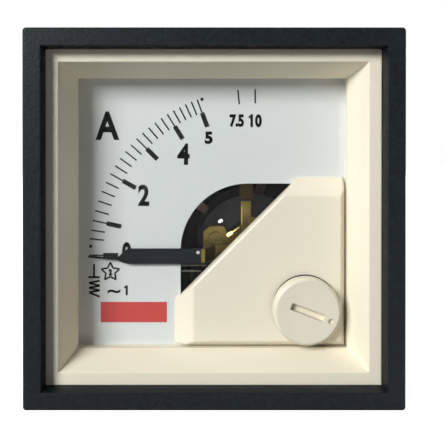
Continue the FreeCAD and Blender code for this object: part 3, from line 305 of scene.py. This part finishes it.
def make_dial_paint():
    """Matt white paint, black where the scale's strokes stand proud of it."""
    material = new_finish("dial_paint", linear(213, 216, 216), 0.55, specular=0.15, drift=0.02, handling=0.04,
                          grain=0.08, grain_scale=6000.0)
    nodes, links = material.node_tree.nodes, material.node_tree.links
    place = nodes.new("ShaderNodeTexCoord")
    split = nodes.new("ShaderNodeSeparateXYZ")
    links.new(place.outputs["Object"], split.inputs[0])
    proud = add_maths(material.node_tree, "LESS_THAN", split.outputs["Y"], (DIAL_FACE + INK_FACE) / 2 * MM)
    inked = nodes.new("ShaderNodeMix")
    inked.data_type = "RGBA"
    inked.inputs["B"].default_value = linear(*INK_COLOUR)
    links.new(proud[0], inked.inputs["Factor"])
    links.new(nodes["surface"].outputs["Color"], inked.inputs["A"])
    links.new(inked.outputs["Result"], nodes["Principled BSDF"].inputs["Base Color"])
    return material


def make_pane():
    """Clear polished plastic that lets the lamps' light through to the dial and doesn't show round the knob."""
    material = bpy.data.materials.new("clear_pane")
    material.use_nodes = True
    tree = material.node_tree
    nodes, links = tree.nodes, tree.links
    skin = nodes["Principled BSDF"]
    skin.inputs["Base Color"].default_value = (0.985, 0.992, 0.99, 1.0)
    skin.inputs["Transmission Weight"].default_value = 1.0
    skin.inputs["IOR"].default_value = 1.01
    skin.inputs["Roughness"].default_value = 0.0
    skin.inputs["Coat Roughness"].default_value = 0.02
    skin.inputs["Coat IOR"].default_value = 1.45
    place = nodes.new("ShaderNodeTexCoord")
    haze = nodes.new("ShaderNodeTexNoise")
    haze.inputs["Scale"].default_value = 90.0
    haze.inputs["Detail"].default_value = 5.0
    links.new(place.outputs["Object"], haze.inputs["Vector"])
    polish = nodes.new("ShaderNodeMapRange")
    polish.inputs["To Min"].default_value = 0.05
    polish.inputs["To Max"].default_value = 0.15
    links.new(haze.outputs["Fac"], polish.inputs["Value"])
    links.new(polish.outputs["Result"], skin.inputs["Coat Weight"])
    vector = "ShaderNodeVectorMath"
    knob_axis = (KNOB[0] * MM, 0.0, KNOB[1] * MM)
    from_knob = add_maths(tree, "SUBTRACT", place.outputs["Object"], knob_axis, kind=vector)
    flat = add_maths(tree, "MULTIPLY", from_knob[0], (1.0, 0.0, 1.0), kind=vector)
    reach = add_maths(tree, "LENGTH", flat[0], kind=vector)
    hole_wall = add_maths(tree, "LESS_THAN", reach["Value"], (PANE_HOLE_RADIUS + PANE_HOLE_MARGIN) * MM)
    path = nodes.new("ShaderNodeLightPath").outputs
    lets_through = add_maths(tree, "MAXIMUM", path["Is Shadow Ray"], path["Is Diffuse Ray"])
    clear = add_maths(tree, "MAXIMUM", lets_through[0], hole_wall[0])
    open_air = nodes.new("ShaderNodeBsdfTransparent")
    open_air.inputs["Color"].default_value = (0.97, 0.98, 0.98, 1.0)
    mixed = nodes.new("ShaderNodeMixShader")
    links.new(clear[0], mixed.inputs["Fac"])
    links.new(skin.outputs[0], mixed.inputs[1])
    links.new(open_air.outputs[0], mixed.inputs[2])
    links.new(mixed.outputs[0], nodes["Material Output"].inputs["Surface"])
    return material


def add_rings(material, pitch, depth):
    """Fine rings round a bar that lies along Y, such as a thread or a layer of wire, as bumps."""
    nodes, links = material.node_tree.nodes, material.node_tree.links
    place = nodes.new("ShaderNodeTexCoord")
    split = nodes.new("ShaderNodeSeparateXYZ")
    links.new(place.outputs["Object"], split.inputs[0])
    turns = add_maths(material.node_tree, "MULTIPLY", split.outputs["Y"], 2 * math.pi / (pitch * MM))
    wave = add_maths(material.node_tree, "SINE", turns[0])
    rings = nodes.new("ShaderNodeBump")
    rings.inputs["Distance"].default_value = depth * MM
    links.new(wave[0], rings.inputs["Height"])
    links.new(nodes["surface"].outputs["Normal"], rings.inputs["Normal"])
    links.new(rings.outputs["Normal"], nodes["Principled BSDF"].inputs["Normal"])


def make_finishes():
    """Every finish of the meter, by the name of its material slot."""
    return {
        "bezel_black": new_finish("bezel_black", linear(15, 21, 24), 0.45, specular=0.12, drift=2.4,
                                  drift_scale=2200.0, handling=0.3, grain=1.0, grain_scale=3800.0,
                                  grain_depth=0.00004, edge=0.25),
        "surround_cream": new_finish("surround_cream", linear(240, 232, 211), 0.36, specular=0.2, drift=0.025,
                                     edge=0.3),
        "window_clear": make_pane(),
        "case_black": new_finish("case_black", linear(24, 25, 27), 0.45, specular=0.3, drift=0.2, handling=0.15,
                                 grain=0.5, grain_scale=3600.0, grain_depth=0.00003, edge=0.2),
        "dial_white": make_dial_paint(),
        "mask_cream": new_finish("mask_cream", linear(231, 222, 203), 0.32, specular=0.3, drift=0.02, edge=0.5),
        "knob_cream": new_finish("knob_cream", linear(226, 219, 200), 0.36, specular=0.25, drift=0.03, edge=0.3),
        "pointer_black": new_finish("pointer_black", linear(12, 18, 19), 0.6, specular=0.08, drift=0.2, grain=0.3),
        "brass": new_finish("brass", linear(104, 90, 46), 0.38, metallic=1.0, drift=1.4, drift_scale=900.0,
                            handling=0.3, grain=1.0, grain_scale=900.0, grain_depth=0.00012),
        "steel": new_finish("steel", linear(190, 190, 192), 0.28, metallic=1.0, drift=0.1, handling=0.15),
        "iron": new_finish("iron", linear(92, 92, 96), 0.5, metallic=1.0, drift=0.3, grain=0.3),
        "spring_bronze": new_finish("spring_bronze", linear(190, 140, 72), 0.3, metallic=1.0, drift=0.1),
        "bobbin_black": new_finish("bobbin_black", linear(20, 20, 22), 0.5, specular=0.2, drift=0.2, grain=0.3),
        "winding_copper": new_finish("winding_copper", linear(*ENAMEL_COLOUR), 0.3, specular=0.6, drift=0.2,
                                     drift_scale=300.0),
        "vane_aluminium": new_finish("vane_aluminium", linear(214, 215, 216), 0.3, metallic=1.0, drift=0.06),
        "plated_nut": new_finish("plated_nut", linear(186, 180, 160), 0.28, metallic=1.0, drift=0.2,
                                 drift_scale=260.0, handling=0.2),
    }


def make_node_finishes():
    """The finishes of single nodes that differ from the rest of their slot, by node name."""
    thread = new_finish("stud_thread", linear(206, 178, 108), 0.3, metallic=1.0, drift=0.15, handling=0.15)
    add_rings(thread, THREAD_PITCH, THREAD_DEPTH)
    wound = new_finish("wound_wire", linear(*ENAMEL_COLOUR), 0.3, specular=0.6, drift=0.2, drift_scale=300.0)
    add_rings(wound, WIRE_PITCH, WIRE_DEPTH)
    passivated = new_finish("yellow_passivated", linear(92, 80, 46), 0.4, metallic=1.0, drift=0.6,
                            drift_scale=900.0, handling=0.3, grain=0.3)
    return {"terminal_stud_left": thread, "terminal_stud_right": thread, "coil_winding": wound,
            "plate_screws": passivated}


def dress_cad_nodes():
    """Give each CAD node its own finish, or the finish of its slot in the record."""
    for row in frame["record"]["subparts"]:
        node = frame["nodes"][row["node"]]
        node.data.materials.clear()
        node.data.materials.append(NODE_FINISHES.get(row["node"], FINISHES[row["material_slot"]]))


# Finishing new pieces

def settle(piece, name, slot, body="housing", finish=None):
    """Name a finished piece, keep its place in its mesh, and let it ride on a body."""
    bpy.ops.object.select_all(action="DESELECT")
    piece.select_set(True)
    bpy.context.view_layer.objects.active = piece
    bpy.ops.object.transform_apply(location=True, rotation=True, scale=True)
    piece.name = name
    piece.data.name = name
    piece.data.materials.clear()
    piece.data.materials.append(finish or FINISHES[slot])
    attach(piece, body)


def join_all(pieces):
    """Join several new objects into the first."""
    bpy.ops.object.select_all(action="DESELECT")
    for piece in pieces:
        piece.select_set(True)
    bpy.context.view_layer.objects.active = pieces[0]
    bpy.ops.object.join()
    return bpy.context.object


# Print on the dial

def ink_words(words, across, up, width, height, weight=0.05):
    """Raised letters of print, fitted to a width and a height about a centre."""
    bpy.ops.object.select_all(action="DESELECT")
    bpy.ops.object.text_add()
    letters = bpy.context.object
    letters.data.body = words
    letters.data.offset = weight
    letters.data.extrude = LETTER_DEPTH
    bpy.ops.object.convert(target="MESH")
    letters = bpy.context.object
    corners = [Vector(corner) for corner in letters.bound_box]
    low = Vector(min(corner[axis] for corner in corners) for axis in range(3))
    high = Vector(max(corner[axis] for corner in corners) for axis in range(3))
    stretch = Vector((width / (high.x - low.x), height / (high.y - low.y), PRINT_THICKNESS / (high.z - low.z))) * MM
    middle = (low + high) / 2
    letters.scale = stretch
    letters.rotation_euler = (math.radians(90), 0, 0)
    offset = Vector((middle.x * stretch.x, -middle.z * stretch.z, middle.y * stretch.y))
    letters.location = Vector((across * MM, (DIAL_FACE + INK_FACE) / 2 * MM, up * MM)) - offset
    return letters


def ink_stroke(start, end, width):
    """One straight printed line between two points of the dial."""
    run = Vector((end[0] - start[0], end[1] - start[1]))
    bpy.ops.object.select_all(action="DESELECT")
    bpy.ops.mesh.primitive_plane_add(size=1.0)
    stroke = bpy.context.object
    stroke.scale = (run.length * MM, width * MM, 1.0)
    bpy.ops.object.transform_apply(location=False, rotation=False, scale=True)
    bpy.ops.object.mode_set(mode="EDIT")
    bpy.ops.mesh.select_all(action="SELECT")
    bpy.ops.mesh.extrude_region_move(TRANSFORM_OT_translate={"value": (0, 0, -PRINT_THICKNESS * MM)})
    bpy.ops.mesh.select_all(action="SELECT")
    bpy.ops.mesh.normals_make_consistent(inside=False)
    bpy.ops.object.mode_set(mode="OBJECT")
    stroke.rotation_euler = (math.radians(90), -math.atan2(run.y, run.x), 0)
    stroke.location = ((start[0] + end[0]) / 2 * MM, INK_FACE * MM, (start[1] + end[1]) / 2 * MM)
    bpy.ops.object.transform_apply(location=True, rotation=True, scale=True)
    return stroke


def make_numerals():
    """The scale's figures and the large unit letter. The last figure's 1 is two strokes, with its 0 beside it."""
    # figure, across, up, width, height, and for the finer ones the weight
    rows = [
        ("0", -12.0, -5.8, 1.3, 3.0, 0.04),
        ("2", -9.6, 2.3, 1.57, 3.0, 0.035),
        ("4", -4.0, 8.1, 1.75, 3.0, 0.035),
        ("5", -0.45, 10.4, 1.1, 1.75),
        ("7.5", 3.5, 12.8, 2.0, 1.8),
        ("0", 6.55, 12.8, 0.92, 1.8),
        ("A", -14.7, 12.1, 3.35, 4.0, 0.03),
    ]
    figures = [ink_words(*row) for row in rows]
    figures.append(ink_stroke((5.6, 11.9), (5.6, 13.7), 0.34))
    figures.append(ink_stroke((5.22, 13.22), (5.6, 13.58), 0.28))
    settle(join_all(figures), "dial_numerals", "dial_white", finish=INK)


def make_symbols():
    """Plain signs of a moving-iron meter: upright use, movement, test star, current and class."""
    strokes = [ink_stroke((-17.4, -9.25), (-15.8, -9.25), 0.28), ink_stroke((-16.6, -9.25), (-16.6, -7.4), 0.28)]
    zigzag = [(-15.8, -9.75), (-17.3, -10.05), (-15.8, -10.45), (-17.3, -10.75), (-15.8, -11.1), (-17.3, -11.4),
              (-15.8, -12.0)]
    strokes += [ink_stroke(start, end, 0.27) for start, end in zip(zigzag, zigzag[1:])]
    star = []
    for step in range(2 * STAR_POINTS + 1):
        reach = STAR_NOTCH if step % 2 else STAR_TIP
        turn = math.radians(90 + 180 / STAR_POINTS * step)
        star.append((STAR_CENTRE[0] + reach * math.cos(turn), STAR_CENTRE[1] + reach * math.sin(turn)))
    strokes += [ink_stroke(start, end, 0.22) for start, end in zip(star, star[1:])]
    strokes.append(ink_words("2", -14.3, -8.55, 0.5, 0.9, 0.07))
    strokes.append(ink_words("~", -13.8, -11.25, 1.8, 0.55, 0.02))
    strokes.append(ink_stroke((-12.0, -11.78), (-12.0, -10.42), 0.26))
    strokes.append(ink_stroke((-12.36, -10.74), (-12.0, -10.5), 0.2))
    settle(join_all(strokes), "dial_symbols", "dial_white", finish=INK)


def make_colour_field():
    """A plain red field of print at the foot of the dial."""
    field = ink_stroke((-15.65, -14.175), (-6.35, -14.175), 2.85)
    settle(field, "dial_field", "dial_white", finish=FIELD_RED)


# Small parts in the movement's window, some in lighter brass as painted highlight, and the ring of painted shade
# round the knob

def round_edges(piece, radius):
    """Soften the piece's edges with an applied bevel, and shade them smooth."""
    soft = piece.modifiers.new("soft_edges", "BEVEL")
    soft.width = radius * MM
    soft.segments = BEVEL_STEPS
    soft.limit_method = "ANGLE"
    bpy.ops.object.modifier_apply(modifier=soft.name)
    bpy.ops.object.shade_smooth_by_angle(angle=math.radians(SMOOTH_BELOW))


def stand_pin(across, up, face, radius, height):
    """A round pin that stands forward from a face, with a soft edge."""
    bpy.ops.object.select_all(action="DESELECT")
    bpy.ops.mesh.primitive_cylinder_add(vertices=PIN_SIDES, radius=radius * MM, depth=height * MM,
                                        location=(across * MM, (face - height / 2) * MM, up * MM),
                                        rotation=(math.radians(90), 0, 0))
    pin = bpy.context.object
    round_edges(pin, min(radius * 0.8, height * 0.45))
    return pin


def lay_bar(start, end, width, face, height, facing=TO_FRONT):
    """A flat bar in front of a face, between two points, with soft edges, that may face a little aside."""
    run = Vector((end[0] - start[0], end[1] - start[1]))
    bpy.ops.object.select_all(action="DESELECT")
    bpy.ops.mesh.primitive_cube_add(size=1.0)
    bar = bpy.context.object
    bar.scale = (run.length * MM, height * MM, width * MM)
    bpy.ops.object.transform_apply(location=False, rotation=False, scale=True)
    round_edges(bar, min(width, height) * 0.25)
    lean = Vector(TO_FRONT).rotation_difference(Vector(facing))
    bar.rotation_euler = (lean @ Euler((0, -math.atan2(run.y, run.x), 0)).to_quaternion()).to_euler()
    bar.location = ((start[0] + end[0]) / 2 * MM, (face - height / 2) * MM, (start[1] + end[1]) / 2 * MM)
    return bar


def make_knob_shade_ring():
    """A dark flattened ring of painted shade on the cover under the knob's head, standing for the shadow in the gap
    round the knob.
    """
    bpy.ops.object.select_all(action="DESELECT")
    bpy.ops.mesh.primitive_torus_add(major_segments=SHADE_RING_SIDES[0], minor_segments=SHADE_RING_SIDES[1],
                                     major_radius=SHADE_RING_RADIUS * MM, minor_radius=SHADE_RING_THICKNESS / 2 * MM,
                                     rotation=(math.radians(90), 0, 0),
                                     location=((KNOB[0] + SHADE_RING_SHIFT) * MM, SHADE_RING_LEVEL * MM, KNOB[1] * MM))
    ring = bpy.context.object
    bpy.ops.object.transform_apply(location=False, rotation=True, scale=False)
    bpy.ops.object.mode_set(mode="EDIT")
    bpy.ops.mesh.select_all(action="SELECT")
    bpy.ops.transform.resize(value=(1.0, SHADE_RING_FLATTENING, 1.0))
    bpy.ops.mesh.normals_make_consistent(inside=False)
    bpy.ops.object.mode_set(mode="OBJECT")
    bpy.ops.object.shade_smooth()
    settle(ring, "knob_shade_ring", "bobbin_black", finish=SHADE_RING_BLACK)


def make_window_parts():
    """The pin, the blade's rivet, the bent contact in a lighter brass that paints its highlight, a strip of painted
    highlight along the brass bar's edge, the card and the wires seen beside the coil.
    """
    pin = [stand_pin(1.45, -1.9, FLANGE_FACE, 0.3, 0.9),
           lay_bar((1.1, -2.05), (1.8, -1.75), 0.5, FLANGE_FACE - 0.75, 0.2, TO_KEY)]
    settle(join_all(pin), "flange_pin", "steel")
    settle(stand_pin(-1.95, -5.6, BLADE_FACE, 0.22, 0.09), "blade_rivet", "steel", "moving_system")
    # The bent contact is lighter brass, a painted highlight.
    contact = [lay_bar((2.4, -4.1), (3.3, -3.5), 0.6, PLATE_FACE - 0.1, 0.3, TO_KEY),
               lay_bar((3.2, -3.55), (4.3, -2.75), 0.25, PLATE_FACE, 0.35)]
    settle(join_all(contact), "contact_strip", "brass", finish=BRASS_PAINTED_HIGHLIGHT)
    # A thin strip of lighter brass, a painted highlight along the brass bar's edge.
    edge_highlight = lay_bar((4.62, -2.4), (4.62, 0.9), 0.12, PLATE_FACE, 0.1, EDGE_HIGHLIGHT_FACING)
    settle(edge_highlight, "bar_edge_highlight", "brass", finish=BRASS_PAINTED_HIGHLIGHT)
    card = lay_bar((5.35, 1.3), (5.35, 3.9), 2.0, FLANGE_FACE, 0.12)
    settle(card, "insulating_card", "bobbin_black", finish=VARNISHED_CARD)
    wires = [lay_bar((-4.5, level), (level + 7.1, level), 0.12, DIAL_BACK + 0.12, 0.12) for level in (-7.75, -8.55)]
    settle(join_all(wires), "coil_wires", "steel", finish=TINNED_WIRE)


SURFACE = make_surface_group()
FINISHES = make_finishes()
NODE_FINISHES = make_node_finishes()
# A lighter brass that paints highlights on the contact and along the bar's edge.
BRASS_PAINTED_HIGHLIGHT = new_finish("brass_painted_highlight", linear(222, 192, 112), 0.25, metallic=1.0, drift=0.15)
TINNED_WIRE = new_finish("tinned_wire", linear(128, 126, 112), 0.45, metallic=0.3, drift=0.3, drift_scale=900.0)
VARNISHED_CARD = new_finish("varnished_card", linear(96, 72, 24), 0.4, specular=0.15, drift=0.6, drift_scale=700.0)
# A plain black for the ring of painted shade round the knob
SHADE_RING_BLACK = new_finish("shade_ring_black", linear(16, 16, 17), 0.7, specular=0.1, drift=0.1, grain=0.3)
INK = new_finish("dial_ink", linear(*INK_COLOUR), 0.7, specular=0.05, drift=0.1, grain=0.1)
FIELD_RED = new_finish("field_red", linear(190, 72, 68), 0.5, specular=0.2, drift=0.05, grain=0.1)

make_world()
make_floor()
add_softbox("key_softbox", KEY_PLACE, KEY_SIZE, KEY_WATTS)
add_softbox("fill_softbox", FILL_PLACE, FILL_SIZE, FILL_WATTS)
add_softbox("back_softbox", BACK_PLACE, BACK_SIZE, BACK_WATTS)
make_camera()
dress_cad_nodes()
make_numerals()
make_symbols()
make_colour_field()
make_window_parts()
make_knob_shade_ring()

bpy.context.scene.view_settings.view_transform = "Standard"
